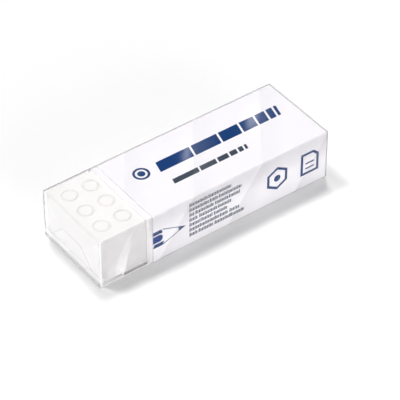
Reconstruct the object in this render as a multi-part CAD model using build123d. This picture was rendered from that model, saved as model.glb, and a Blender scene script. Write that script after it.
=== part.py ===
from build123d import *

import os

# A vinyl block eraser in a card sleeve, sealed in clear film as it is sold. Sizes are in millimetres.
# X runs along the block, with its bare end towards -X, Y runs from the front to the back, and Z is up.
# The origin lies on the surface that the pack rests on, under the middle of the pack.

# Eraser block: cut from an extruded vinyl bar, all its edges eased
block_length = 65.0
block_width = 22.0
block_height = 13.0
block_edge_radius = 0.8
bare_length = 13.4

# Rings pressed into the upper face of the bare end, as many straight columns and rows as it has room for
ring_diameter = 4.2
ring_line_width = 0.55
ring_depth = 0.25
ring_gap_along = 1.6
ring_gap_across = 2.2
ring_margin = 1.4

# Card sleeve: one strip folded round the block, its last flap glued inside the bottom panel
card_thickness = 0.3
card_fold_radius = 0.15
glue_flap_width = 9.5
block_to_card_clearance = 0.05

# Clear film: wrapped round with a long lap seam at the back, and folded like an envelope at both ends
film_thickness = 0.03
block_to_film_clearance = 0.27
film_end_radius = 0.2
long_seam_width = 5.0
end_flap_depth = 7.6
end_flap_corner_radius = 1.6
end_fold_angle = 45.0

# Tear strip: a tape stuck to the inside of the film, round the pack at the sleeve's mouth
strip_width = 1.9
strip_thickness = 0.04
strip_clearance = 0.015
strip_end_gap = 1.0

# Cuts run past the faces that they open by this much
cut_overrun = 1.0

# The stack from the surface up: film, tear strip, card, glue flap, block, card, tear strip, film
card_to_film_clearance = strip_thickness + 2 * strip_clearance
sleeve_width = block_width + 2 * (block_to_card_clearance + card_thickness)
sleeve_bottom = film_thickness + card_to_film_clearance
block_bottom = sleeve_bottom + 2 * card_thickness
block_top = block_bottom + block_height
sleeve_top = block_top + block_to_card_clearance + card_thickness
sleeve_height = sleeve_top - sleeve_bottom
sleeve_mid_height = (sleeve_bottom + sleeve_top) / 2
sleeve_outer_radius = card_fold_radius + card_thickness
mouth_x = bare_length - block_length / 2

# The room inside the film, with a tuck of film between the block and each end wall
room_length = block_length + 2 * (block_to_film_clearance + film_thickness)
room_width = sleeve_width + 2 * card_to_film_clearance
room_height = sleeve_height + 2 * card_to_film_clearance
room_edge_radius = sleeve_outer_radius + card_to_film_clearance

# The flat part of the film's ends, on which the flaps lie
film_end_x = room_length / 2 + film_thickness
end_flat_width = room_width - 2 * film_end_radius
end_flat_height = room_height - 2 * film_end_radius


def ring_places(room, gap):
    """The ring centres along a face of this length, measured from its middle."""
    pitch = ring_diameter + gap
    count = int((room - 2 * ring_margin + gap) // pitch)
    return [(i - (count - 1) / 2) * pitch for i in range(count)]


def make_eraser_block():
    """The bar, eased on every edge, with the rings pressed into its bare upper face."""
    bar = Pos(0, 0, block_bottom + block_height / 2) * Box(block_length, block_width, block_height)
    bar = fillet(bar.edges(), block_edge_radius)
    ring = Circle(ring_diameter / 2) - Circle(ring_diameter / 2 - ring_line_width)
    punch = extrude(ring, amount=ring_depth + cut_overrun)
    for x in ring_places(bare_length, ring_gap_along):
        for y in ring_places(block_width, ring_gap_across):
            bar -= Pos(mouth_x - bare_length / 2 + x, y, block_top - ring_depth) * punch
    return bar


def make_card_sleeve():
    """The strip seen from its end: glue flap, back, top and front, and the bottom panel glued to the flap."""
    wall = (sleeve_width - card_thickness) / 2
    top = sleeve_top - card_thickness / 2
    bottom = sleeve_bottom + card_thickness / 2
    flap = bottom + card_thickness
    fold = card_fold_radius + card_thickness / 2
    panel_edge = sleeve_width / 2 - sleeve_outer_radius
    flap_to_front = FilletPolyline(
        (wall - glue_flap_width, flap),
        (wall, flap),
        (wall, top),
        (-wall, top),
        (-wall, sleeve_mid_height),
        radius=fold,
    )
    front_to_panel = FilletPolyline(
        (-wall, sleeve_mid_height),
        (-wall, bottom),
        (panel_edge, bottom),
        radius=fold,
    )
    section = trace(flap_to_front, line_width=card_thickness)
    section += trace(front_to_panel, line_width=card_thickness)
    return extrude(Plane.YZ.offset(mouth_x) * section, amount=block_length - bare_length, dir=(1, 0, 0))


def pack_shape(length, width, height, long_radius, end_radius):
    """A bar at the sleeve's height, rounded along its long edges and then round both its ends."""
    bar = Pos(0, 0, sleeve_mid_height) * Box(length, width, height)
    bar = fillet(bar.edges().filter_by(Axis.X), long_radius)
    return fillet(bar.faces().filter_by(Axis.X).edges(), end_radius)


def end_flap(layers):
    """A sealed flap on the right-hand end, with its base on the end's lower edge and slanting sides."""
    base = sleeve_mid_height - end_flat_height / 2
    outline = Trapezoid(end_flat_width, end_flap_depth, end_fold_angle, align=(Align.CENTER, Align.MIN))
    free_corners = outline.vertices().group_by(Axis.Y)[-1]
    outline = fillet(free_corners, end_flap_corner_radius)
    outline = Plane((film_end_x, 0, base), x_dir=(0, 1, 0), z_dir=(1, 0, 0)) * outline
    return extrude(outline, amount=layers * film_thickness)


def end_folds():
    """The layers folded over the right-hand end: two side tucks inside, then the top and bottom flaps."""
    tuck_x = room_length / 2 - film_thickness / 2
    tuck_y = (end_flat_width - end_flap_depth) / 2
    tucks = [
        Pos(tuck_x, side * tuck_y, sleeve_mid_height) * Box(film_thickness, end_flap_depth, end_flat_height)
        for side in (1, -1)
    ]
    top_flap = end_flap(1).mirror(Plane.XY.offset(sleeve_mid_height))
    return tucks + [top_flap, end_flap(2)]


def make_film_wrap():
    """The tube with closed ends, its long lap seam, and the layers folded over each end."""
    outside = pack_shape(
        room_length + 2 * film_thickness,
        room_width + 2 * film_thickness,
        room_height + 2 * film_thickness,
        room_edge_radius + film_thickness,
        film_end_radius + film_thickness,
    )
    inside = pack_shape(room_length, room_width, room_height, room_edge_radius, film_end_radius)
    seam_length = room_length - 2 * film_end_radius
    seam_y = (room_width + film_thickness) / 2 + film_thickness
    seam = Pos(0, seam_y, sleeve_mid_height) * Box(seam_length, film_thickness, long_seam_width)
    right_folds = end_folds()
    left_folds = [fold.mirror(Plane.YZ) for fold in right_folds]
    return outside - inside + seam + right_folds + left_folds


def make_tear_strip():
    """A band round the sleeve's mouth, its two ends a little apart under the film's seam."""
    outer_width = room_width - 2 * strip_clearance
    outer_height = room_height - 2 * strip_clearance
    outer_radius = room_edge_radius - strip_clearance
    band = RectangleRounded(outer_width, outer_height, outer_radius)
    band -= RectangleRounded(
        outer_width - 2 * strip_thickness,
        outer_height - 2 * strip_thickness,
        outer_radius - strip_thickness,
    )
    band -= Pos(outer_width / 2, 0) * Rectangle(outer_width, strip_end_gap)
    start = Plane((mouth_x - strip_width / 2, 0, sleeve_mid_height), x_dir=(0, 1, 0), z_dir=(1, 0, 0))
    return extrude(start * band, amount=strip_width)


pieces = {
    "eraser_block": make_eraser_block,
    "card_sleeve": make_card_sleeve,
    "tear_strip": make_tear_strip,
    "film_wrap": make_film_wrap,
}

os.makedirs("parts", exist_ok=True)
for name, make in pieces.items():
    export_step(make(), f"parts/{name}.step")
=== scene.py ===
import math

import bmesh
import bpy
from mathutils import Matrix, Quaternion, Vector


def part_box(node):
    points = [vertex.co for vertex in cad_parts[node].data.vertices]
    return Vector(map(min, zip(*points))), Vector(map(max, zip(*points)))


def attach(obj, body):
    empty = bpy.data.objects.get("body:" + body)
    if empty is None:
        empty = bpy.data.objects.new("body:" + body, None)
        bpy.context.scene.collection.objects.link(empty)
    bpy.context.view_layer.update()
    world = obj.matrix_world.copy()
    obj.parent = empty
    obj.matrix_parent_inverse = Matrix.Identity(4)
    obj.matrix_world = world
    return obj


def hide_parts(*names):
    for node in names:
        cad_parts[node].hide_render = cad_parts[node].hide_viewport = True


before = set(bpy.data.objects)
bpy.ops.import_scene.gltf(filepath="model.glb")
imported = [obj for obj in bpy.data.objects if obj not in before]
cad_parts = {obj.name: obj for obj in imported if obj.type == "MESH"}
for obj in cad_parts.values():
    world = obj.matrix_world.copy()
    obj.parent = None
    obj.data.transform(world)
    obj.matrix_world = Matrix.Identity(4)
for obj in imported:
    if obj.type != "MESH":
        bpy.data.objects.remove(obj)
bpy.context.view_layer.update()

# Eraser block. A bar of soft white vinyl filled with chalk, extruded, cut to length and eased on all
# its edges. Rings are pressed into the top of its bare end. Nothing fixes it: it lies in the sleeve
# and in the film.

MM = 0.001
BLOCK_EDGE_RADIUS = 0.8 * MM
BLOCK_EDGE_STEPS = 6
RING_DIAMETER = 4.2 * MM
RING_LINE_WIDTH = 0.55 * MM
RING_DEPTH = 0.25 * MM
RING_PITCH_ALONG = 5.8 * MM
RING_PITCH_ACROSS = 6.4 * MM
RING_COLUMNS = 2
RING_ROWS = 3
RING_ROUND_STEPS = 64
RING_SECTION_STEPS = 20
RING_LIP_RADIUS = 0.07 * MM
RING_LIP_STEPS = 2
RING_LIP_ANGLE = math.radians(45)
SMOOTH_ANGLE = math.radians(40)
VINYL_WHITE = (0.925, 0.908, 0.902, 1)
VINYL_SHADE = (0.89, 0.873, 0.865, 1)
GROOVE_SHADE_PALE = (0.86, 0.845, 0.835, 1)
GROOVE_SHADE_DEEP = (0.81, 0.793, 0.78, 1)
VINYL_ROUGHNESS = 0.55
PRESSED_ROUGHNESS = 0.4
VINYL_BUMP = 0.12
VINYL_BUMP_DEPTH = 0.02 * MM
DRAG_STRETCH = (0.06, 1, 1)

# Each noise has a scale and a detail.
VINYL_GRAIN = (2600, 3)
VINYL_DRAG = (900, 2)
VINYL_CLOUDS = (160, 4)

block_low, block_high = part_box("eraser_block")
sleeve_low, sleeve_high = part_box("card_sleeve")


def add_box(name, low, high):
    """A cube primitive stretched between two corners, with its place kept in its mesh."""
    bpy.ops.object.select_all(action="DESELECT")
    bpy.ops.mesh.primitive_cube_add(size=1, location=(low + high) / 2, scale=high - low)
    bpy.ops.object.transform_apply(location=True, rotation=True, scale=True)
    piece = bpy.context.object
    piece.name = name
    piece.data.name = name
    return piece


def pick(piece, kind, rule):
    """In edit mode, selects only the faces, edges or vertices for which the rule holds."""
    bpy.ops.mesh.select_mode(type=kind)
    bpy.ops.mesh.select_all(action="DESELECT")
    cage = bmesh.from_edit_mesh(piece.data)
    for element in {"FACE": cage.faces, "EDGE": cage.edges, "VERT": cage.verts}[kind]:
        element.select_set(rule(element))
    cage.select_flush_mode()
    bmesh.update_edit_mesh(piece.data)


def apply_modifier(piece, kind, **settings):
    """Adds a modifier with these settings and applies it."""
    bpy.context.view_layer.objects.active = piece
    modifier = piece.modifiers.new(kind.lower(), kind)
    for setting, value in settings.items():
        setattr(modifier, setting, value)
    bpy.ops.object.modifier_apply(modifier=modifier.name)


def smooth(piece):
    """Shades the piece smooth, but for its sharp edges, and keeps its flat faces flat."""
    bpy.ops.object.select_all(action="DESELECT")
    piece.select_set(True)
    bpy.context.view_layer.objects.active = piece
    bpy.ops.object.shade_smooth_by_angle(angle=SMOOTH_ANGLE)
    apply_modifier(piece, "WEIGHTED_NORMAL", keep_sharp=True)


def node_adder(tree):
    """A function that adds a node to this tree, and sets or links its inputs."""

    def add(kind, inputs=(), **settings):
        node = tree.nodes.new(kind)
        for setting, value in settings.items():
            setattr(node, setting, value)
        for socket, value in dict(inputs).items():
            if isinstance(value, bpy.types.NodeSocket):
                tree.links.new(value, node.inputs[socket])
            else:
                node.inputs[socket].default_value = value
        return node

    return add


def new_material(name):
    """A material with no nodes yet, and the function that adds them."""
    material = bpy.data.materials.new(name)
    material.use_nodes = True
    material.node_tree.nodes.clear()
    return material, node_adder(material.node_tree)


def new_effect(name, inputs, outputs):
    """A node group for an effect that materials share, and the function that adds its nodes."""
    effect = bpy.data.node_groups.new(name, "ShaderNodeTree")
    for in_out, sockets in (("INPUT", inputs), ("OUTPUT", outputs)):
        for socket, kind in sockets.items():
            effect.interface.new_socket(socket, in_out=in_out, socket_type=kind)
    return effect, node_adder(effect)


def noise(add, place, scale, detail):
    """The grey value of a noise with this scale and detail."""
    inputs = {"Vector": place, "Scale": scale, "Detail": detail}
    return add("ShaderNodeTexNoise", inputs).outputs["Fac"]


def mixed(add, share, first, second):
    """A colour between two others."""
    return add("ShaderNodeMix", {0: share, 6: first, 7: second}, data_type="RGBA").outputs[2]


def calc(add, operation, *values):
    """The result of a sum."""
    return add("ShaderNodeMath", dict(enumerate(values)), operation=operation).outputs[0]


# Chalk clouds the vinyl's colour a little. Its skin has a fine grain and the marks of the extrusion.
vinyl_skin, add = new_effect(
    "vinyl_skin",
    {"White": "NodeSocketColor", "Shade": "NodeSocketColor"},
    {"Color": "NodeSocketColor", "Relief": "NodeSocketFloat"},
)
tones = add("NodeGroupInput").outputs
place = add("ShaderNodeTexCoord").outputs["Object"]
drag = add("ShaderNodeMapping", {"Vector": place, "Scale": DRAG_STRETCH}).outputs[0]
relief = calc(add, "ADD", noise(add, place, *VINYL_GRAIN), noise(add, drag, *VINYL_DRAG))
chalk = mixed(add, noise(add, place, *VINYL_CLOUDS), tones["Shade"], tones["White"])
add("NodeGroupOutput", {"Color": chalk, "Relief": relief})


def vinyl_material(name, white, shade, roughness):
    """Soft vinyl between these two tones."""
    vinyl, add = new_material(name)
    skin = add("ShaderNodeGroup", {"White": white, "Shade": shade}, node_tree=vinyl_skin).outputs
    bump = add(
        "ShaderNodeBump",
        {"Strength": VINYL_BUMP, "Distance": VINYL_BUMP_DEPTH, "Height": skin["Relief"]},
    )
    soft = add(
        "ShaderNodeBsdfPrincipled",
        {"Base Color": skin["Color"], "Roughness": roughness, "Normal": bump.outputs[0]},
    )
    add("ShaderNodeOutputMaterial", {"Surface": soft.outputs[0]})
    return vinyl


block = add_box("block", block_low, block_high)
bpy.ops.object.mode_set(mode="EDIT")
bpy.ops.mesh.select_all(action="SELECT")
bpy.ops.mesh.bevel(offset=BLOCK_EDGE_RADIUS, segments=BLOCK_EDGE_STEPS, affect="EDGES")
bpy.ops.object.mode_set(mode="OBJECT")
white_vinyl = vinyl_material("white_vinyl", VINYL_WHITE, VINYL_SHADE, VINYL_ROUGHNESS)
block.data.materials.append(white_vinyl)

# The punch is a ring of round section. It sinks to the ring's depth, and where it meets the surface
# it is as wide as the ring's line.
half_line = RING_LINE_WIDTH / 2
punch_radius = (RING_DEPTH ** 2 + half_line ** 2) / (2 * RING_DEPTH)
bare_middle = (block_low.x + sleeve_low.x) / 2
first_ring = Vector((
    bare_middle - (RING_COLUMNS - 1) / 2 * RING_PITCH_ALONG,
    -(RING_ROWS - 1) / 2 * RING_PITCH_ACROSS,
    block_high.z + punch_radius - RING_DEPTH,
))
bpy.ops.object.select_all(action="DESELECT")
bpy.ops.mesh.primitive_torus_add(
    location=first_ring,
    major_radius=RING_DIAMETER / 2 - half_line,
    minor_radius=punch_radius,
    major_segments=RING_ROUND_STEPS,
    minor_segments=RING_SECTION_STEPS,
)
punch = bpy.context.object
bpy.ops.object.transform_apply(location=True, rotation=True, scale=True)
for count, step in (
    (RING_COLUMNS, (RING_PITCH_ALONG, 0, 0)),
    (RING_ROWS, (0, RING_PITCH_ACROSS, 0)),
):
    apply_modifier(
        punch,
        "ARRAY",
        count=count,
        use_relative_offset=False,
        use_constant_offset=True,
        constant_offset_displace=step,
    )
# The groove faces take a darker, glossier vinyl: the darker tone is painted shade in the rings, the
# gloss is the pressed skin.
groove_shaded_vinyl = vinyl_material("groove_shaded_vinyl", GROOVE_SHADE_PALE, GROOVE_SHADE_DEEP, PRESSED_ROUGHNESS)
punch.data.materials.append(groove_shaded_vinyl)
apply_modifier(
    block,
    "BOOLEAN",
    operation="DIFFERENCE",
    object=punch,
    solver="EXACT",
    material_mode="TRANSFER",
)
bpy.data.objects.remove(punch)
apply_modifier(
    block,
    "BEVEL",
    width=RING_LIP_RADIUS,
    segments=RING_LIP_STEPS,
    limit_method="ANGLE",
    angle_limit=RING_LIP_ANGLE,
)
smooth(block)

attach(block, "root")
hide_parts("eraser_block")

# Card sleeve. One strip of white coated board, folded round the block and glued to itself under the
# bottom. It is open at both ends, and its cut edges show the uncoated core. Friction holds it on the
# block.

CARD_THICKNESS = 0.3 * MM
CARD_FOLD_RADIUS = 0.3 * MM
CARD_FOLD_STEPS = 6
GLUE_FLAP_WIDTH = 9.5 * MM
PANEL_EDGE_GAP = 0.45 * MM
CARD_WHITE = (0.935, 0.912, 0.945, 1)
CARD_MOTTLE = (0.92, 0.897, 0.93, 1)
CARD_CORE = (0.80, 0.77, 0.72, 1)
CARD_ROUGHNESS = 0.42
CORE_ROUGHNESS = 0.9
CARD_BUMP = 0.08
CARD_BUMP_DEPTH = 0.01 * MM
CARD_CLOUDS = (220, 5)
CARD_FIBRES = (3200, 3)
CORE_FIBRES = (5000, 3)

# A face looks along an axis if more than this much of its normal does.
LOOKS_ALONG = 0.9

wall_y = sleeve_high.y - CARD_THICKNESS / 2
top_z = sleeve_high.z - CARD_THICKNESS / 2
panel_z = sleeve_low.z + CARD_THICKNESS / 2
flap_z = panel_z + CARD_THICKNESS
sleeve_length = sleeve_high.x - sleeve_low.x

bpy.ops.object.select_all(action="DESELECT")
bpy.ops.mesh.primitive_plane_add(
    size=1,
    location=((sleeve_low.x + sleeve_high.x) / 2, wall_y - GLUE_FLAP_WIDTH / 2, flap_z),
)
sleeve = bpy.context.object
sleeve.name = "sleeve"
sleeve.scale = (sleeve_length, GLUE_FLAP_WIDTH, 1)
bpy.ops.object.transform_apply(location=True, rotation=True, scale=True)
bpy.ops.object.mode_set(mode="EDIT")
pick(sleeve, "EDGE", lambda edge: min(v.co.y for v in edge.verts) > wall_y - MM)
for step in (
    (0, 0, top_z - flap_z),
    (0, -2 * wall_y, 0),
    (0, 0, panel_z - top_z),
    (0, wall_y + sleeve_high.y - PANEL_EDGE_GAP, 0),
):
    bpy.ops.mesh.extrude_region_move(TRANSFORM_OT_translate={"value": step})
pick(sleeve, "EDGE", lambda edge: not edge.is_boundary)
bpy.ops.mesh.bevel(offset=CARD_FOLD_RADIUS, segments=CARD_FOLD_STEPS, affect="EDGES")
bpy.ops.object.mode_set(mode="OBJECT")
apply_modifier(sleeve, "SOLIDIFY", thickness=CARD_THICKNESS, offset=0, use_even_offset=True)
bpy.ops.object.mode_set(mode="EDIT")
bpy.ops.mesh.select_all(action="SELECT")
bpy.ops.mesh.normals_make_consistent(inside=False)
bpy.ops.object.mode_set(mode="OBJECT")
smooth(sleeve)

card, add = new_material("printed_card")
place = add("ShaderNodeTexCoord").outputs["Object"]
tone = mixed(add, noise(add, place, *CARD_CLOUDS), CARD_MOTTLE, CARD_WHITE)
fibre = noise(add, place, *CARD_FIBRES)
bump = add(
    "ShaderNodeBump",
    {"Strength": CARD_BUMP, "Distance": CARD_BUMP_DEPTH, "Height": fibre},
)
coat = add(
    "ShaderNodeBsdfPrincipled",
    {"Base Color": tone, "Roughness": CARD_ROUGHNESS, "Normal": bump.outputs[0]},
)
add("ShaderNodeOutputMaterial", {"Surface": coat.outputs[0]})
sleeve.data.materials.append(card)

core, add = new_material("card_core")
place = add("ShaderNodeTexCoord").outputs["Object"]
tone = mixed(add, noise(add, place, *CORE_FIBRES), CARD_CORE, CARD_WHITE)
pulp = add("ShaderNodeBsdfPrincipled", {"Base Color": tone, "Roughness": CORE_ROUGHNESS})
add("ShaderNodeOutputMaterial", {"Surface": pulp.outputs[0]})
sleeve.data.materials.append(core)
for face in sleeve.data.polygons:
    face.material_index = 1 if abs(face.normal.x) > LOOKS_ALONG else 0
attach(sleeve, "root")
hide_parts("card_sleeve")

# Print. Flat fields of blue and slate ink on the sleeve's top and front, a few microns thick.
# The top has a roundel and two rows that break up as a rubbed-out line does. The front has a pencil,
# lines of small marks and two signs.

INK_THICKNESS = 0.008 * MM
INK_SINK = 0.003 * MM
INK_NAVY = (0.001, 0.035, 0.15, 1)
INK_SLATE = (0.04, 0.055, 0.08, 1)
INK_BLUE = (0.004, 0.04, 0.21, 1)
INK_FINE = (0.015, 0.03, 0.085, 1)
INK_ROUGHNESS = 0.6
INK_GLOSS = 0.1
INK_THIN_SHARE = 1.3
INK_THIN_LIFT = 0.004
INK_CLOUDS = (1500, 4)
ROUND_SIDES = 64

# The ink lies thinner in places, where a little of the card shows through.
ink_spread, add = new_effect(
    "ink_spread",
    {"Ink": "NodeSocketColor", "Thin": "NodeSocketColor"},
    {"Color": "NodeSocketColor"},
)
inks = add("NodeGroupInput").outputs
place = add("ShaderNodeTexCoord").outputs["Object"]
spread = mixed(add, noise(add, place, *INK_CLOUDS), inks["Ink"], inks["Thin"])
add("NodeGroupOutput", {"Color": spread})


def tile(left, bottom, right, top, lean=0, drop=0):
    """A flat tile of ink, its upper edge pushed along by lean and its right edge lifted by drop."""
    bpy.ops.object.select_all(action="DESELECT")
    bpy.ops.mesh.primitive_plane_add(size=1, location=((left + right) / 2, (bottom + top) / 2, 0))
    patch = bpy.context.object
    patch.scale = (right - left, top - bottom, 1)
    bpy.ops.object.transform_apply(location=True, rotation=True, scale=True)
    bpy.ops.object.mode_set(mode="EDIT")
    middle_height = (bottom + top) / 2
    middle_length = (left + right) / 2
    pick(patch, "VERT", lambda vertex: vertex.co.y > middle_height)
    bpy.ops.transform.translate(value=(lean, 0, 0))
    pick(patch, "VERT", lambda vertex: vertex.co.x > middle_length)
    bpy.ops.transform.translate(value=(0, drop, 0))
    bpy.ops.object.mode_set(mode="OBJECT")
    return patch


def disc(x, y, diameter, sides=ROUND_SIDES):
    """A flat round of ink, or a polygon with few sides."""
    bpy.ops.object.select_all(action="DESELECT")
    bpy.ops.mesh.primitive_circle_add(
        vertices=sides, radius=diameter / 2, fill_type="NGON", location=(x, y, 0)
    )
    patch = bpy.context.object
    bpy.ops.object.transform_apply(location=True, rotation=True, scale=True)
    return patch


def hollow(patch, line):
    """Leaves only a border of this width."""
    bpy.ops.object.mode_set(mode="EDIT")
    bpy.ops.mesh.select_all(action="SELECT")
    bpy.ops.mesh.inset(thickness=line, depth=0)
    bpy.ops.mesh.delete(type="FACE")
    bpy.ops.object.mode_set(mode="OBJECT")
    return patch


def print_ink(name, patches, colour, panel):
    """Joins flat patches into one film of ink and lays it on the sleeve's top or front."""
    bpy.ops.object.select_all(action="DESELECT")
    for patch in patches:
        patch.select_set(True)
    bpy.context.view_layer.objects.active = patches[0]
    bpy.ops.object.join()
    ink = bpy.context.object
    ink.name = name
    ink.data.name = name
    apply_modifier(ink, "SOLIDIFY", thickness=INK_THICKNESS, offset=1)
    if panel == "top":
        ink.location = (0, 0, sleeve_high.z - INK_SINK)
    else:
        ink.location = (0, sleeve_low.y + INK_SINK, 0)
        ink.rotation_euler = (math.pi / 2, 0, 0)
    bpy.ops.object.transform_apply(location=True, rotation=True, scale=True)
    material, add = new_material(name)
    thin = [min(1, channel * INK_THIN_SHARE + INK_THIN_LIFT) for channel in colour[:3]] + [1]
    tone = add("ShaderNodeGroup", {"Ink": colour, "Thin": thin}, node_tree=ink_spread).outputs[0]
    dry_ink = add(
        "ShaderNodeBsdfPrincipled",
        {"Base Color": tone, "Roughness": INK_ROUGHNESS, "Specular IOR Level": INK_GLOSS},
    )
    add("ShaderNodeOutputMaterial", {"Surface": dry_ink.outputs[0]})
    ink.data.materials.append(material)
    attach(ink, "root")
    return ink


def broken_row(start, bottom, top, lengths, gap, lean):
    """A row of slanted dashes of these lengths."""
    dashes = []
    for length in lengths:
        dashes.append(tile(start, bottom, start + length, top, lean=lean))
        start += length + gap
    return dashes


LONG_ROW_DASHES = [length * MM for length in (9.6, 7.4, 5.6, 4.1, 2.8, 1.7, 0.8)]
LONG_ROW_LEFT = -7.4 * MM
LONG_ROW_BOTTOM = 0.3 * MM
LONG_ROW_TOP = 3.8 * MM
LONG_ROW_GAP = 0.55 * MM
LONG_ROW_LEAN = 0.9 * MM
ROUNDEL_PLACE = (-11.4 * MM, 2.5 * MM)
ROUNDEL_DIAMETER = 4.2 * MM
ROUNDEL_LINE = 0.6 * MM
ROUNDEL_DOT = 1.9 * MM
patches = broken_row(
    LONG_ROW_LEFT, LONG_ROW_BOTTOM, LONG_ROW_TOP, LONG_ROW_DASHES, LONG_ROW_GAP, LONG_ROW_LEAN
)
patches.append(hollow(disc(*ROUNDEL_PLACE, ROUNDEL_DIAMETER), ROUNDEL_LINE))
patches.append(disc(*ROUNDEL_PLACE, ROUNDEL_DOT))
print_ink("print_long_row", patches, INK_NAVY, "top")

SHORT_ROW_DASHES = [length * MM for length in (7.2, 4.6, 3.0, 2.0, 1.3, 0.7)]
SHORT_ROW_LEFT = -7.2 * MM
SHORT_ROW_BOTTOM = -4.9 * MM
SHORT_ROW_TOP = -3.3 * MM
SHORT_ROW_GAP = 0.5 * MM
SHORT_ROW_LEAN = 0.4 * MM
patches = broken_row(
    SHORT_ROW_LEFT, SHORT_ROW_BOTTOM, SHORT_ROW_TOP, SHORT_ROW_DASHES, SHORT_ROW_GAP, SHORT_ROW_LEAN
)
print_ink("print_short_row", patches, INK_SLATE, "top")

PENCIL_LEFT = -18.15 * MM
PENCIL_SHOULDER = -15.4 * MM
LEAD_LEFT = -10.9 * MM
PENCIL_POINT = -8.85 * MM
PENCIL_MIDDLE = 6.75 * MM
PENCIL_HALF = 2.45 * MM
STRIPE = 1.1 * MM
STRIPE_LEAN = 0.35 * MM
LEAD_HALF = 0.75 * MM
CONE_LINE = 0.24 * MM
BODY_GAP = 0.3 * MM
BODY_ROUND_SHARE = 0.9
BODY_ROUND_STEPS = 8
patches = []
for side in (1, -1):
    outer = PENCIL_MIDDLE + side * PENCIL_HALF
    inner = outer - side * STRIPE
    low, high = sorted((inner, outer))
    patches.append(tile(PENCIL_LEFT, low, PENCIL_SHOULDER, high, lean=-side * STRIPE_LEAN))
    low, high = sorted((outer - side * CONE_LINE, outer))
    cone_drop = -side * (PENCIL_HALF - LEAD_HALF)
    patches.append(tile(PENCIL_SHOULDER, low, LEAD_LEFT, high, drop=cone_drop))
lead = tile(LEAD_LEFT, PENCIL_MIDDLE - LEAD_HALF, PENCIL_POINT, PENCIL_MIDDLE + LEAD_HALF)
bpy.ops.object.mode_set(mode="EDIT")
pick(lead, "VERT", lambda vertex: vertex.co.x > (LEAD_LEFT + PENCIL_POINT) / 2)
bpy.ops.mesh.merge(type="CENTER")
bpy.ops.object.mode_set(mode="OBJECT")
patches.append(lead)
print_ink("print_pencil_outline", patches, INK_NAVY, "front")
body_half = PENCIL_HALF - STRIPE - BODY_GAP
body = tile(PENCIL_LEFT, PENCIL_MIDDLE - body_half, PENCIL_SHOULDER, PENCIL_MIDDLE + body_half)
bpy.ops.object.mode_set(mode="EDIT")
pick(body, "VERT", lambda vertex: vertex.co.x > (PENCIL_LEFT + PENCIL_SHOULDER) / 2)
bpy.ops.mesh.bevel(
    offset=BODY_ROUND_SHARE * body_half, segments=BODY_ROUND_STEPS, affect="VERTICES"
)
bpy.ops.object.mode_set(mode="OBJECT")
print_ink("print_pencil_body", [body], INK_BLUE, "front")

FINE_PRINT_LEFT = -7.85 * MM
FINE_PRINT_TOP = 12.55 * MM
FINE_PRINT_PITCH = 1.51 * MM
FINE_PRINT_HEIGHT = 0.88 * MM
FINE_PRINT_GAP = 0.42 * MM
FINE_PRINT_LINES = (
    (5.0, 2.0, 4.2),
    (5.4, 2.2, 2.0, 4.0),
    (1.3, 5.2, 3.6, 3.2),
    (2.4, 5.0, 3.6),
    (3.0, 3.2, 3.6),
    (2.5, 5.4, 2.4, 2.4),
    (2.2, 4.2, 4.3, 3.9),
)
MARK_WIDTHS = [width * MM for width in (0.34, 0.26, 0.42, 0.22, 0.36)]
MARK_GAP = 0.16 * MM
MARK_LEAN = 0.08 * MM
TALL_MARK_RISE = 0.2 * MM
TALL_MARK_EVERY = 3


def word_of_marks(start, bottom, top, length):
    """A word's length of small upright marks, some of them taller."""
    marks = []
    end = start + length
    while start < end:
        width = MARK_WIDTHS[len(marks) % len(MARK_WIDTHS)]
        rise = TALL_MARK_RISE if len(marks) % TALL_MARK_EVERY == 0 else 0
        marks.append(tile(start, bottom, start + width, top + rise, lean=MARK_LEAN))
        start += width + MARK_GAP
    return marks


patches = []
for row, words in enumerate(FINE_PRINT_LINES):
    top = FINE_PRINT_TOP - row * FINE_PRINT_PITCH
    start = FINE_PRINT_LEFT
    for word in words:
        patches += word_of_marks(start, top - FINE_PRINT_HEIGHT, top, word * MM)
        start += word * MM + FINE_PRINT_GAP
print_ink("print_fine_marks", patches, INK_FINE, "front")

SIGN_MIDDLE = 7.3 * MM
SIGN_LINE = 0.7 * MM
HEXAGON_MIDDLE = 17.75 * MM
HEXAGON_SIZE = 6.9 * MM
HEXAGON_DOT = 1.9 * MM
SHEET_LEFT = 24.8 * MM
SHEET_RIGHT = 30.2 * MM
SHEET_BOTTOM = 4.0 * MM
SHEET_TOP = 10.6 * MM
SHEET_CORNER = 1.5 * MM
RULE_LEFT = 26.2 * MM
RULE_RIGHT = 28.8 * MM
RULE_HEIGHT = 0.45 * MM
RULE_BOTTOMS = (5.6 * MM, 7.1 * MM)
hexagon = hollow(disc(HEXAGON_MIDDLE, SIGN_MIDDLE, HEXAGON_SIZE, sides=6), SIGN_LINE)
dot = disc(HEXAGON_MIDDLE, SIGN_MIDDLE, HEXAGON_DOT)
sheet = tile(SHEET_LEFT, SHEET_BOTTOM, SHEET_RIGHT, SHEET_TOP)
bpy.ops.object.mode_set(mode="EDIT")
pick(sheet, "VERT", lambda vertex: vertex.co.x > RULE_RIGHT and vertex.co.y > SIGN_MIDDLE)
bpy.ops.mesh.bevel(offset=SHEET_CORNER, segments=1, affect="VERTICES")
bpy.ops.object.mode_set(mode="OBJECT")
sheet = hollow(sheet, SIGN_LINE)
rules = [tile(RULE_LEFT, low, RULE_RIGHT, low + RULE_HEIGHT) for low in RULE_BOTTOMS]
print_ink("print_signs", [hexagon, dot, sheet] + rules, INK_NAVY, "front")

# Tear strip. A narrow milky tape, stuck to the inside of the film where it passes the sleeve's mouth.
# It runs once round the pack, and its two ends lie a little apart under the film's seam.

STRIP_THICKNESS = 0.04 * MM
STRIP_FOLD_RADIUS = 0.505 * MM
STRIP_FOLD_STEPS = 5
STRIP_END_GAP = 1.0 * MM
STRIP_WHITE = (0.82, 0.805, 0.82, 1)

strip_low, strip_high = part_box("tear_strip")
strip = add_box("tear_tape", strip_low, strip_high)
strip_middle_z = (strip_low.z + strip_high.z) / 2


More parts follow.
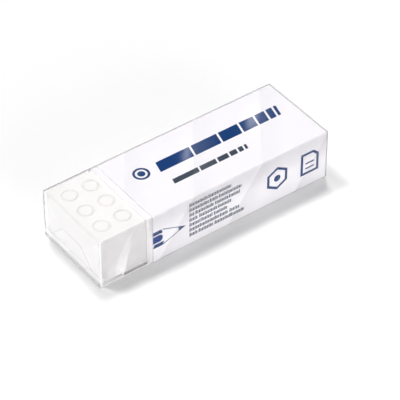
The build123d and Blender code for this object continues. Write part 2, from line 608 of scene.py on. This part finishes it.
def at_an_end(face):
    """Whether the face looks along the pack."""
    return abs(face.normal.x) > LOOKS_ALONG


def runs_along(edge):
    """Whether the edge runs along the pack."""
    return abs(edge.verts[0].co.x - edge.verts[1].co.x) > MM


def at_the_back(face):
    """Whether the face looks backwards."""
    return face.normal.y > LOOKS_ALONG


def between_tape_ends(face):
    """Whether the face lies where the tape's two ends are apart."""
    off_middle = abs(face.calc_center_median().z - strip_middle_z)
    return at_the_back(face) and off_middle < STRIP_END_GAP / 2


bpy.ops.object.mode_set(mode="EDIT")
pick(strip, "FACE", at_an_end)
bpy.ops.mesh.delete(type="FACE")
pick(strip, "EDGE", runs_along)
bpy.ops.mesh.bevel(offset=STRIP_FOLD_RADIUS, segments=STRIP_FOLD_STEPS, affect="EDGES")
for side in (1, -1):
    pick(strip, "FACE", at_the_back)
    bpy.ops.mesh.bisect(
        plane_co=(0, 0, strip_middle_z + side * STRIP_END_GAP / 2),
        plane_no=(0, 0, 1),
    )
pick(strip, "FACE", between_tape_ends)
bpy.ops.mesh.delete(type="FACE")
bpy.ops.mesh.select_all(action="SELECT")
bpy.ops.mesh.normals_make_consistent(inside=False)
bpy.ops.object.mode_set(mode="OBJECT")
apply_modifier(strip, "SOLIDIFY", thickness=STRIP_THICKNESS, offset=-1, use_even_offset=True)
smooth(strip)

# The tape is a diffuser: it covers what lies under it in part, and lets all the light through.
# Its two edges are a little greyer: a thin painted shade along each.
STRIP_COVER = 0.5
STRIP_UNEVEN = 0.08
STRIP_CLOUDS = (700, 3)
STRIP_ROUGHNESS = 0.5
STRIP_GLOSS = 0.2
STRIP_EDGE_SHADE = (0.42, 0.42, 0.43, 1)
STRIP_EDGE_SHADE_WIDTH = 0.24 * MM


def ramp(add, value, start, end, first, last):
    """A value that eases from first to last as another goes from start to end."""
    limits = {"Value": value, "From Min": start, "From Max": end, "To Min": first, "To Max": last}
    return add("ShaderNodeMapRange", limits, interpolation_type="SMOOTHSTEP").outputs[0]


strip_middle_x = (strip_low.x + strip_high.x) / 2
strip_half = (strip_high.x - strip_low.x) / 2
tape, add = new_material("white_tape")
place = add("ShaderNodeTexCoord").outputs["Object"]
clouds = noise(add, place, *STRIP_CLOUDS)
cover = calc(add, "MULTIPLY_ADD", clouds, 2 * STRIP_UNEVEN, STRIP_COVER - STRIP_UNEVEN)
across = add("ShaderNodeSeparateXYZ", {0: place}).outputs["X"]
off_middle = calc(add, "ABSOLUTE", calc(add, "SUBTRACT", across, strip_middle_x))
# Painted shade: a thin grey line along each of the tape's two edges.
edge = ramp(add, off_middle, strip_half - STRIP_EDGE_SHADE_WIDTH, strip_half, 0, 1)
shadow_ray = add("ShaderNodeLightPath").outputs["Is Shadow Ray"]
polymer = add(
    "ShaderNodeBsdfPrincipled",
    {
        "Base Color": mixed(add, edge, STRIP_WHITE, STRIP_EDGE_SHADE),
        "Roughness": STRIP_ROUGHNESS,
        "Specular IOR Level": STRIP_GLOSS,
        "Alpha": calc(add, "MULTIPLY", cover, calc(add, "SUBTRACT", 1.0, shadow_ray)),
    },
)
add("ShaderNodeOutputMaterial", {"Surface": polymer.outputs[0]})
strip.data.materials.append(tape)
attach(strip, "root")
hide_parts("tear_strip")

# Clear film. Thin polypropylene wrapped round the pack, lapped and sealed along the back. Both ends are
# folded like an envelope's, the top flap first and the double bottom flap over it. Over the bare end it
# stands off the block, where it has a crease and a few slack ripples.

FILM_THICKNESS = 0.03 * MM
FILM_LONG_RADIUS = 0.55 * MM
FILM_LONG_STEPS = 5
FILM_END_RADIUS = 0.23 * MM
FILM_END_STEPS = 3
LIES_FLAT = 0.99
BARE_PANEL_CUTS = 23
SLACK_DEPTH = 0.07 * MM
SLACK_RIPPLE = 8.0 * MM
SLACK_DETAIL = 1
SLACK_MARGIN = 3.0 * MM
CREASE_TOP = Vector((-23.1 * MM, 0, 13.0 * MM))
CREASE_BOTTOM = Vector((-26.7 * MM, 0, 0.4 * MM))
CREASE_SLOPE = 0.1
CREASE_TOP_REACH = 1.2 * MM
CREASE_FOOT_REACH = 6.0 * MM
CREASE_DEPTH = CREASE_SLOPE * CREASE_FOOT_REACH / 2
CREASE_END_TAPER = 3.0 * MM
CREASE_FOLD_TAPER = 1.6 * MM
FLAP_DEPTH = 7.6 * MM
FLAP_CORNER = 0.66 * MM
FLAP_CORNER_STEPS = 6
FLAP_SEAL_WIDTH = 0.2 * MM
SEAM_WIDTH = 5.0 * MM
SEAL_SINK = 0.01 * MM

film_low, film_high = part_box("film_wrap")
tube_low = film_low + Vector((2 * FILM_THICKNESS, 0, 0))
tube_high = film_high - Vector((2 * FILM_THICKNESS, FILM_THICKNESS, 0))
tube_size = tube_high - tube_low
tube_middle = (tube_low + tube_high) / 2
end_flat = tube_size - Vector((2, 2, 2)) * FILM_END_RADIUS

film = add_box("film", tube_low, tube_high)
bpy.ops.object.mode_set(mode="EDIT")
pick(film, "EDGE", runs_along)
bpy.ops.mesh.bevel(offset=FILM_LONG_RADIUS, segments=FILM_LONG_STEPS, affect="EDGES")
pick(film, "FACE", at_an_end)
bpy.ops.mesh.region_to_loop()
bpy.ops.mesh.bevel(offset=FILM_END_RADIUS, segments=FILM_END_STEPS, affect="EDGES")
bpy.ops.mesh.select_all(action="SELECT")
bpy.ops.mesh.bisect(plane_co=(sleeve_low.x, 0, 0), plane_no=(1, 0, 0))


def on_bare_panel(face):
    """Whether the face is of the film's flat top or front over the bare end of the block."""
    flat = face.normal.z > LIES_FLAT or face.normal.y < -LIES_FLAT
    return flat and face.calc_center_median().x < sleeve_low.x


crease_line = (CREASE_TOP - CREASE_BOTTOM).normalized()
crease_left = Vector((-crease_line.z, 0, crease_line.x))
pick(film, "FACE", on_bare_panel)
bpy.ops.mesh.subdivide(number_cuts=BARE_PANEL_CUTS)
pick(film, "FACE", lambda face: on_bare_panel(face) and face.normal.y < -LIES_FLAT)
bpy.ops.mesh.bisect(plane_co=CREASE_BOTTOM, plane_no=crease_left)
bpy.ops.mesh.mark_sharp()
bpy.ops.object.mode_set(mode="OBJECT")

slack = film.vertex_groups.new(name="slack")
crease = film.vertex_groups.new(name="crease")
for vertex in film.data.vertices:
    if vertex.co.x > sleeve_low.x:
        continue
    from_ends = min(vertex.co.x - tube_low.x, sleeve_low.x - vertex.co.x)
    if vertex.co.z > tube_high.z - FILM_THICKNESS:
        from_sides = tube_size.y / 2 - abs(vertex.co.y)
        looseness = min(1, from_ends / SLACK_MARGIN, from_sides / SLACK_MARGIN)
        slack.add([vertex.index], looseness, "REPLACE")
    if vertex.co.y < tube_low.y + FILM_THICKNESS:
        left = (vertex.co - CREASE_BOTTOM).dot(crease_left)
        down = min(1, max(0, (CREASE_TOP.z - vertex.co.z) / (CREASE_TOP.z - CREASE_BOTTOM.z)))
        reach = CREASE_TOP_REACH + (CREASE_FOOT_REACH - CREASE_TOP_REACH) * down
        share = min(1, max(0, left) / reach)
        depth = (1 - (1 - share) ** 2) * reach / CREASE_FOOT_REACH
        from_folds = tube_size.z / 2 - abs(vertex.co.z - tube_middle.z)
        for distance, taper in ((from_ends, CREASE_END_TAPER), (from_folds, CREASE_FOLD_TAPER)):
            ease = min(1, distance / taper)
            depth *= ease * ease * (3 - 2 * ease)
        crease.add([vertex.index], depth, "REPLACE")
ripple = bpy.data.textures.new("film_ripple", "CLOUDS")
ripple.noise_scale = SLACK_RIPPLE
ripple.noise_depth = SLACK_DETAIL
apply_modifier(
    film,
    "DISPLACE",
    texture=ripple,
    texture_coords="LOCAL",
    strength=SLACK_DEPTH,
    mid_level=1,
    vertex_group="slack",
)
apply_modifier(film, "DISPLACE", strength=-CREASE_DEPTH, mid_level=0, vertex_group="crease")
apply_modifier(film, "SOLIDIFY", thickness=FILM_THICKNESS, offset=-1, use_even_offset=True)

# The film mirrors a little of what it faces, more at a low angle, and casts no shadow of its own.
# Where it is folded, creased or sealed it carries grey and milky white: painted shade and painted light
# at the folds, foot and crease, a faint haze in the seals, and painted shade along the seals' edges.
FILM_MIRROR = 0.018
FILM_ROUGHNESS = 0.045
FILM_TINT = (0.97, 0.975, 0.985, 1)
SHADE_AND_HAZE_GREY = (0.38, 0.37, 0.385, 1)
LIGHT_AND_HAZE_MILK = (0.95, 0.945, 0.945, 1)
COVER_MOST = 0.9
COVER_LEAST = 0.0001
GREY_UNEVEN = 0.5
GREY_CLOUDS = (350, 3)
MIRROR_BLEND = 0.5
MIRROR_POWER = 5.0

# This group tones the film's grey and milky cover: painted shade and painted light, and in the seals a
# faint haze.
film_haze_and_painted_light, add = new_effect(
    "film_haze_and_painted_light",
    {"Grey": "NodeSocketFloat", "Milk": "NodeSocketFloat"},
    {"Color": "NodeSocketColor", "Cover": "NodeSocketFloat"},
)
shares = add("NodeGroupInput").outputs
place = add("ShaderNodeTexCoord").outputs["Object"]
clouds = noise(add, place, *GREY_CLOUDS)
patchy = calc(add, "MULTIPLY_ADD", clouds, GREY_UNEVEN, 1 - GREY_UNEVEN / 2)
grey = calc(add, "MULTIPLY", shares["Grey"], patchy)
cover = calc(add, "ADD", grey, shares["Milk"])
grey_share = calc(add, "DIVIDE", grey, calc(add, "MAXIMUM", cover, COVER_LEAST))
shade_light_and_haze_tone = mixed(add, grey_share, LIGHT_AND_HAZE_MILK, SHADE_AND_HAZE_GREY)
add("NodeGroupOutput", {"Color": shade_light_and_haze_tone, "Cover": calc(add, "MINIMUM", cover, COVER_MOST)})


def lay_film(add, grey, milk):
    """Gives a material the film's thin mirror, with this much grey and milky cover in it: painted shade
    and light, and in the seals a faint haze.
    """
    haze_and_painted_light = add("ShaderNodeGroup", {"Grey": grey, "Milk": milk}, node_tree=film_haze_and_painted_light).outputs
    facing = add("ShaderNodeLayerWeight", {"Blend": MIRROR_BLEND}).outputs["Facing"]
    rise = calc(add, "POWER", facing, MIRROR_POWER)
    mirror = calc(add, "MULTIPLY_ADD", rise, 1 - FILM_MIRROR, FILM_MIRROR)
    both = calc(add, "MULTIPLY", mirror, haze_and_painted_light["Cover"])
    solid = calc(add, "SUBTRACT", calc(add, "ADD", mirror, haze_and_painted_light["Cover"]), both)
    mirror_share = calc(add, "DIVIDE", mirror, solid)
    shadow_ray = add("ShaderNodeLightPath").outputs["Is Shadow Ray"]
    shine = add(
        "ShaderNodeBsdfPrincipled",
        {
            "Base Color": mixed(add, mirror_share, haze_and_painted_light["Color"], FILM_TINT),
            "Metallic": mirror_share,
            "Roughness": FILM_ROUGHNESS,
            "Alpha": calc(add, "MULTIPLY", solid, calc(add, "SUBTRACT", 1.0, shadow_ray)),
        },
    )
    add("ShaderNodeOutputMaterial", {"Surface": shine.outputs[0]})


# Painted shade and light. The far folds are greyed as painted shade, less so at the right end. The bare
# end stands in a band of painted shade with painted light above it, its front has a painted highlight
# on its lip, and painted light lies beside the crease as its glare and along the near fold as a
# highlight.
# Slanted patches of painted shade run over the sleeve and its front edge, and painted shade darkens the
# front.
FOLD_SHADE_WIDTH = 0.7 * MM
FOLD_SHADE_COVER = 0.85
RIGHT_SHADE_COVER = 0.5
FAR_SIDE_LEAN = 0.5
FAR_SIDE_START = -12 * MM
FAR_SIDE_FULL = -6 * MM
BACK_SHADE_WIDTH = 1.0 * MM
BACK_SHADE_COVER = 0.9
LOW_EDGE_HEIGHT = 0.6 * MM
LOW_EDGE_COVER = 0.9
LIP_HIGHLIGHT_HEIGHT = 0.9 * MM
LIP_HIGHLIGHT_COVER = 0.9
CREASE_LIGHT_COVER = 0.23
CREASE_LIGHT_TOP = 8.0 * MM
GAP_LIGHT_COVER = 0.45
GAP_LIGHT_FADE = 1.1 * MM
GAP_LIGHT_TOP = 1.8 * MM
LOW_BAND_HEIGHT = 1.4 * MM
LOW_BAND_COVER = 0.5
LOW_FADE = 0.14 * MM
FOOT_LIGHT_FADE = 2.6 * MM
FOOT_LIGHT_TOP = 3.4 * MM
FOOT_LIGHT_COVER = 0.6
FOOT_LIGHT_LEAST = 0.05
FOOT_LIGHT_LEFT = -32.9 * MM
FOOT_LIGHT_RIGHT = -31.0 * MM
FOLD_HIGHLIGHT_COVER = 0.9
FOLD_HIGHLIGHT_WIDTH = 0.9 * MM
FOLD_HIGHLIGHT_START = 0.06 * MM
FACET_SHADE_PITCH = 16.0 * MM
FACET_SHADE_START = -14.6 * MM
FACET_SHADE_SLANT = (0.81, -0.585, -0.585)
FACET_SHADE_FADE_SHARE = 0.45
FACET_SHADE_TOP_COVER = 0.05
FACET_SHADE_FRONT_COVER = 0.05
FRONT_SHADE_COVER = 0.155
HIGH_SHADE_COVER = 0.12
HIGH_SHADE_FOOT = 6.0 * MM

clear_film, add = new_material("clear_film")
place = add("ShaderNodeTexCoord").outputs["Object"]
x, y, z = add("ShaderNodeSeparateXYZ", {0: place}).outputs
inset = []
for axis, spot in enumerate((x, y, z)):
    off_middle = calc(add, "ABSOLUTE", calc(add, "SUBTRACT", spot, tube_middle[axis]))
    inset.append(calc(add, "SUBTRACT", tube_size[axis] / 2, off_middle))
bare = calc(add, "LESS_THAN", x, sleeve_low.x)
covered = calc(add, "SUBTRACT", 1.0, bare)


def by_end(bare_value, sleeved_value):
    """One value towards the bare end, and another towards the sleeved one."""
    return ramp(add, x, -MM, MM, bare_value, sleeved_value)


# Painted shade: the far folds and the back fold are greyed, less at the right end, to outline the pack.
right_edges = calc(add, "ADD", inset[2], by_end(tube_size.z, 0))
end_fold = calc(add, "MAXIMUM", inset[0], calc(add, "MINIMUM", inset[1], right_edges))
from_top = calc(add, "SUBTRACT", tube_high.z, z)
bare_corner = ramp(add, from_top, 0, FOLD_SHADE_WIDTH, FOLD_SHADE_WIDTH, 0)
end_fold = calc(add, "MULTIPLY_ADD", bare_corner, bare, end_fold)
backwards = calc(add, "MULTIPLY_ADD", x, FAR_SIDE_LEAN, y)
far_side = ramp(add, backwards, FAR_SIDE_START, FAR_SIDE_FULL, 0, 1)
end_cover = calc(add, "MULTIPLY", by_end(FOLD_SHADE_COVER, RIGHT_SHADE_COVER), far_side)
far_fold_shade = calc(add, "MULTIPLY", ramp(add, end_fold, 0, FOLD_SHADE_WIDTH, 1, 0), end_cover)
back_fold = calc(add, "MAXIMUM", calc(add, "SUBTRACT", tube_high.y, y), inset[2])
back_fold_shade = ramp(add, back_fold, 0, BACK_SHADE_WIDTH, BACK_SHADE_COVER, 0)
grey = calc(add, "MAXIMUM", far_fold_shade, back_fold_shade)

on_end = calc(add, "MULTIPLY", ramp(add, inset[0], 0, FOLD_SHADE_WIDTH, 1, 0), bare)
on_front = calc(add, "SUBTRACT", bare, on_end)
# Painted shade: a grey band at the foot of the bare end, darkest at the very bottom, where the gap
# under the block lies in shade.
foot_edge_shade = ramp(add, z, LOW_EDGE_HEIGHT - LOW_FADE, LOW_EDGE_HEIGHT, LOW_EDGE_COVER, 0)
foot_band_shade = ramp(add, z, LOW_BAND_HEIGHT - LOW_FADE, LOW_BAND_HEIGHT, LOW_BAND_COVER, 0)
foot_shade = calc(add, "MULTIPLY", calc(add, "MAXIMUM", foot_edge_shade, foot_band_shade), on_end)
grey = calc(add, "MAXIMUM", grey, foot_shade)


def measured(add, spot, axis):
    """How far a spot or a direction reaches along an axis."""
    return add("ShaderNodeVectorMath", {0: spot, 1: axis}, operation="DOT_PRODUCT").outputs["Value"]


# Painted shade: faint slanted grey patches over the sleeve's top and front edge, in place of the film's
# facet reflections.
along = measured(add, place, FACET_SHADE_SLANT)
first_patch = FACET_SHADE_START + FACET_SHADE_SLANT[2] * tube_high.z
past_first = calc(add, "SUBTRACT", along, first_patch)
step = calc(add, "FRACT", calc(add, "DIVIDE", past_first, FACET_SHADE_PITCH))
front_edge = tube_low.y + FILM_LONG_RADIUS
facet_shade_cover = ramp(add, y, tube_low.y, front_edge, FACET_SHADE_FRONT_COVER, FACET_SHADE_TOP_COVER)
facet_shade = calc(add, "MULTIPLY", ramp(add, step, 0, FACET_SHADE_FADE_SHARE, 1, 0), facet_shade_cover)
# Painted shade: the bare front is greyed all over, and the sleeved front more towards its top.
clear_of_strip = calc(add, "LESS_THAN", x, strip_low.x)
high_shade = ramp(add, z, HIGH_SHADE_FOOT, tube_high.z, 0, HIGH_SHADE_COVER)
high_shade = calc(add, "MULTIPLY", high_shade, covered)
front_shade = calc(add, "MULTIPLY_ADD", clear_of_strip, FRONT_SHADE_COVER, high_shade)
front_shade = calc(add, "MULTIPLY", ramp(add, y, tube_low.y, front_edge, 1, 0), front_shade)
# These clouds are the patches and front greying, all painted shade.
clouds = calc(add, "MULTIPLY_ADD", facet_shade, covered, front_shade)
grey = calc(add, "MAXIMUM", grey, clouds)

# Painted light: a milky white band above the foot's shade brightens the dark gap under the block, most
# at the left end.
foot_light_band = ramp(add, z, LOW_BAND_HEIGHT - LOW_FADE, LOW_BAND_HEIGHT, 0, 1)
foot_light_band = calc(add, "MULTIPLY", foot_light_band, ramp(add, z, FOOT_LIGHT_FADE, FOOT_LIGHT_TOP, 1, 0))
low_cover = ramp(add, x, FOOT_LIGHT_LEFT, FOOT_LIGHT_RIGHT, FOOT_LIGHT_COVER, FOOT_LIGHT_LEAST)
painted_light = calc(add, "MULTIPLY", calc(add, "MULTIPLY", foot_light_band, low_cover), bare)
painted_light = calc(add, "MULTIPLY", painted_light, calc(add, "SUBTRACT", 1.0, far_fold_shade))
# Painted highlight: a milky white lip along the bottom of the bare front.
lip_highlight = ramp(add, z, LIP_HIGHLIGHT_HEIGHT - LOW_FADE, LIP_HIGHLIGHT_HEIGHT, LIP_HIGHLIGHT_COVER, 0)
painted_light = calc(add, "MAXIMUM", painted_light, calc(add, "MULTIPLY", lip_highlight, on_front))
# Painted light: milk beside the crease stands for its glare, and lightens the gap at the foot there.
leftwards = measured(add, place, crease_left)
beside = calc(add, "GREATER_THAN", leftwards, CREASE_BOTTOM.dot(crease_left))
crease_light = ramp(add, z, 0, CREASE_LIGHT_TOP, CREASE_LIGHT_COVER, 0)
gap_light = ramp(add, z, GAP_LIGHT_FADE, GAP_LIGHT_TOP, GAP_LIGHT_COVER, 0)
crease_light = calc(add, "MULTIPLY", calc(add, "MAXIMUM", crease_light, gap_light), beside)
painted_light = calc(add, "MAXIMUM", painted_light, calc(add, "MULTIPLY", crease_light, on_front))
# Painted highlight: milky white along the near vertical fold, on its front side.
front_left = calc(add, "MAXIMUM", inset[0], calc(add, "SUBTRACT", y, tube_low.y))
off_end = calc(add, "MULTIPLY", ramp(add, inset[0], 0, FOLD_HIGHLIGHT_START, 0, 1), bare)
fold_highlight = ramp(add, front_left, 0, FOLD_HIGHLIGHT_WIDTH, FOLD_HIGHLIGHT_COVER, 0)
fold_highlight = calc(add, "MULTIPLY", fold_highlight, off_end)
lay_film(add, grey, calc(add, "MAXIMUM", painted_light, fold_highlight))
film.data.materials.append(clear_film)

SEAL_MILK = 0.06
SEAL_GREY = 0.02
SEAL_EDGE_SHADE = 0.17
sealed_film, add = new_material("sealed_film")
lay_film(add, SEAL_GREY, SEAL_MILK)
# Painted shade: the borders of the double flap and the seam are greyer.
seal_edge_shade, add = new_material("seal_edge_shade")
lay_film(add, SEAL_EDGE_SHADE, SEAL_MILK)


def seal_on(width, depth, layers, top_width, corner, border, location, rotation):
    """Seals a flat layer of film on the wrap, the middle of its base line at the location."""
    bpy.ops.object.select_all(action="DESELECT")
    bpy.ops.mesh.primitive_plane_add(size=1, location=(0, depth / 2, 0))
    layer = bpy.context.object
    layer.scale = (width, depth, 1)
    bpy.ops.object.transform_apply(location=True, rotation=True, scale=True)
    bpy.ops.object.mode_set(mode="EDIT")
    pick(layer, "VERT", lambda vertex: vertex.co.y > depth / 2)
    bpy.ops.transform.resize(value=(top_width / width, 1, 1))
    if corner:
        bpy.ops.mesh.bevel(offset=corner, segments=FLAP_CORNER_STEPS, affect="VERTICES")
    bpy.ops.mesh.select_all(action="SELECT")
    bpy.ops.mesh.inset(thickness=FLAP_SEAL_WIDTH, depth=0)
    bpy.ops.object.mode_set(mode="OBJECT")
    layer.data.materials.append(sealed_film)
    layer.data.materials.append(seal_edge_shade)
    # With border set, the layer's rim takes the grey seal-edge material, a painted shade line.
    for face in layer.data.polygons:
        face.material_index = 0 if face.select or not border else 1
    apply_modifier(layer, "SOLIDIFY", thickness=layers * FILM_THICKNESS + SEAL_SINK, offset=1)
    layer.rotation_euler = rotation
    layer.location = Vector(location) - layer.rotation_euler.to_matrix() @ Vector((0, 0, SEAL_SINK))
    bpy.ops.object.transform_apply(location=True, rotation=True, scale=True)
    apply_modifier(
        film,
        "BOOLEAN",
        operation="UNION",
        object=layer,
        solver="EXACT",
        material_mode="TRANSFER",
    )
    bpy.data.objects.remove(layer)


quarter = math.pi / 2
flap_top_width = end_flat.y - 2 * FLAP_DEPTH
for end_x, turn in ((tube_low.x, -quarter), (tube_high.x, quarter)):
    upper = (end_x, tube_middle.y, tube_middle.z + end_flat.z / 2)
    lower = (end_x, tube_middle.y, tube_middle.z - end_flat.z / 2)
    flap = (end_flat.y, FLAP_DEPTH)
    seal_on(*flap, 1, flap_top_width, FLAP_CORNER, False, upper, (-quarter, 0, turn + math.pi))
    seal_on(*flap, 2, flap_top_width, FLAP_CORNER, True, lower, (quarter, 0, turn))
seam_base = (0, tube_high.y, tube_middle.z - SEAM_WIDTH / 2)
seal_on(end_flat.x, SEAM_WIDTH, 1, end_flat.x, 0, True, seam_base, (quarter, 0, math.pi))
smooth(film)
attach(film, "root")
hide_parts("film_wrap")

# Floor, light and camera. A white paper sheet lies under plain soft studio light: two lamps high behind
# the pack, at its left and right, low ones at its front and left, and a soft sky. The camera stands
# where the photograph was taken from, above the front left.

FLOOR_SIDE = 4.0
FLOOR_WHITE = (0.98, 0.98, 0.98, 1)
KEY_DIRECTION = Vector((-0.22, 0.37, 0.9))
KEY_STRENGTH = 1.16
KEY_SOFTNESS = 13
HIGH_DIRECTION = Vector((0.17, 0.31, 0.935))
HIGH_STRENGTH = 1.3
HIGH_SOFTNESS = 14
FRONT_DIRECTION = Vector((-0.08, -0.985, 0.12))
FRONT_STRENGTH = 1.76
LEFT_DIRECTION = Vector((-0.95, -0.25, 0.17))
LEFT_STRENGTH = 0.32
LOW_SOFTNESS = 40
SKY_DIRECTION = Vector((0.05, -0.7, 0.71)).normalized()
SKY_STRENGTH = 0.38
GROUND_DIRECTION = Vector((-0.6, 0.8, 0))
GROUND_STRENGTH = 2.5
DIM_STRENGTH = 0.03
PHOTO_SIDE = 400
FOCAL_PIXELS = 2342.0
CAMERA_AZIMUTH = math.radians(-36.57)
CAMERA_ELEVATION = math.radians(41.55)
CAMERA_DISTANCE = 555.0 * MM
CAMERA_NEAREST = 10 * MM
CAMERA_AIM = Vector((3.62 * MM, 0, -0.16 * MM))

bpy.ops.object.select_all(action="DESELECT")
bpy.ops.mesh.primitive_plane_add(size=FLOOR_SIDE)
floor = bpy.context.object
floor.name = "floor"
paper, add = new_material("white_paper")
sheet_white = add("ShaderNodeBsdfDiffuse", {"Color": FLOOR_WHITE})
add("ShaderNodeOutputMaterial", {"Surface": sheet_white.outputs[0]})
floor.data.materials.append(paper)
floor.visible_glossy = False


def add_lamp(name, direction, strength, softness):
    """A far lamp that shines from this direction, as wide as softness in degrees."""
    bpy.ops.object.light_add(type="SUN")
    lamp = bpy.context.object
    lamp.name = name
    lamp.data.energy = strength
    lamp.data.angle = math.radians(softness)
    lamp.rotation_euler = direction.to_track_quat("Z", "Y").to_euler()


add_lamp("key_lamp", KEY_DIRECTION, KEY_STRENGTH, KEY_SOFTNESS)
add_lamp("high_lamp", HIGH_DIRECTION, HIGH_STRENGTH, HIGH_SOFTNESS)
add_lamp("front_lamp", FRONT_DIRECTION, FRONT_STRENGTH, LOW_SOFTNESS)
add_lamp("left_lamp", LEFT_DIRECTION, LEFT_STRENGTH, LOW_SOFTNESS)

# The sky is a wide soft light that is strongest at the front and falls to almost nothing behind.
# The floor hides what is below it from all but the film, which mirrors a glow from the back left.
world = bpy.data.worlds.new("studio")
bpy.context.scene.world = world
world.use_nodes = True
world.node_tree.nodes.clear()
add = node_adder(world.node_tree)
direction = add("ShaderNodeTexCoord").outputs["Generated"]


def glow(towards, strength):
    """A wide glow that is strongest in this direction."""
    share = calc(add, "MAXIMUM", measured(add, direction, towards), 0.0)
    return calc(add, "MULTIPLY_ADD", share, strength, DIM_STRENGTH)


height = add("ShaderNodeSeparateXYZ", {0: direction}).outputs["Z"]
above = calc(add, "GREATER_THAN", height, 0.0)
below_glow = glow(GROUND_DIRECTION, GROUND_STRENGTH)
sky_glow = glow(SKY_DIRECTION, SKY_STRENGTH)
all_round = add("ShaderNodeMix", {0: above, 2: below_glow, 3: sky_glow}).outputs[0]
sky = add("ShaderNodeBackground", {"Color": (1, 1, 1, 1), "Strength": all_round})
add("ShaderNodeOutputWorld", {"Surface": sky.outputs[0]})

bpy.ops.object.camera_add()
camera = bpy.context.object
camera_back = Vector((
    math.sin(CAMERA_AZIMUTH) * math.cos(CAMERA_ELEVATION),
    -math.cos(CAMERA_AZIMUTH) * math.cos(CAMERA_ELEVATION),
    math.sin(CAMERA_ELEVATION),
))
camera.location = CAMERA_AIM + camera_back * CAMERA_DISTANCE
camera.rotation_euler = camera_back.to_track_quat("Z", "Y").to_euler()
camera.data.lens = camera.data.sensor_width * FOCAL_PIXELS / PHOTO_SIDE
camera.data.clip_start = CAMERA_NEAREST
bpy.context.scene.camera = camera

# Glare. Studio lamps leave streaks on a shiny film. Each lamp here stands where the film mirrors it to
# the camera at one spot, and it shows in reflections only.

GLARE_DISTANCE = 0.8
TOP_NORMAL = Vector((0, 0, 1))
FRONT_NORMAL = Vector((0, -1, 0))
NEAR_FOLD_NORMAL = Vector((-1, -1, 0)).normalized()
LENGTH_LEAN = 25
TOP_GLARE_LEAN = -6
TOP_GLARE_STRENGTH = 7.0
CREASE_GLARE_RISE = 0.24
CREASE_GLARE_LEAN = -14
CREASE_GLARE_HEIGHT = 9 * MM


def add_glare(name, spot, normal, width, height, lean, strength):
    """A lamp that shows in the film as a glare of this width and height round the spot."""
    bounce = (spot - camera.location).normalized().reflect(normal)
    growth = 1 + GLARE_DISTANCE / (spot - camera.location).length
    bpy.ops.object.light_add(type="AREA", location=spot + bounce * GLARE_DISTANCE)
    lamp = bpy.context.object
    lamp.name = name
    lamp.data.shape = "RECTANGLE"
    lamp.data.size = width * growth
    lamp.data.size_y = height * growth
    lamp.data.energy = strength * math.pi * lamp.data.size * lamp.data.size_y
    lamp.data.use_shadow = False
    turned = Quaternion((0, 0, 1), math.radians(lean))
    lamp.rotation_euler = ((-bounce).to_track_quat("-Z", "Y") @ turned).to_euler()
    lamp.visible_camera = False
    lamp.visible_diffuse = False


for name, x, y, width, height in (
    ("glare_left_strip", 1.7, 2.5, 1.5, 5.0),
    ("glare_middle_strip", 21.6, 3.2, 2.6, 4.5),
):
    add_glare(
        name,
        spot=Vector((x * MM, y * MM, tube_high.z)),
        normal=TOP_NORMAL,
        width=width * MM,
        height=height * MM,
        lean=TOP_GLARE_LEAN,
        strength=TOP_GLARE_STRENGTH,
    )
add_glare(
    "glare_low_front",
    spot=Vector((7 * MM, tube_low.y, 3.0 * MM)),
    normal=FRONT_NORMAL,
    width=70 * MM,
    height=9 * MM,
    lean=LENGTH_LEAN,
    strength=1.0,
)
crease_spot = CREASE_BOTTOM.lerp(CREASE_TOP, CREASE_GLARE_RISE) + crease_left * MM
crease_spot.y = tube_low.y
for name, steepness, width, strength in (
    ("glare_crease", 0.67, 51.0, 3.6),
    ("glare_crease_edge", 0.9, 22.0, 1.6),
):
    add_glare(
        name,
        spot=crease_spot,
        normal=(FRONT_NORMAL + crease_left * CREASE_SLOPE * steepness).normalized(),
        width=width * MM,
        height=CREASE_GLARE_HEIGHT,
        lean=CREASE_GLARE_LEAN,
        strength=strength,
    )
add_glare(
    "glare_front_edge",
    spot=Vector((tube_low.x, tube_low.y, tube_middle.z)),
    normal=NEAR_FOLD_NORMAL,
    width=300 * MM,
    height=200 * MM,
    lean=0,
    strength=5.0,
)

FILM_FACES_PASSED = 24
bpy.context.scene.cycles.transparent_max_bounces = FILM_FACES_PASSED
bpy.context.scene.view_settings.view_transform = "Standard"
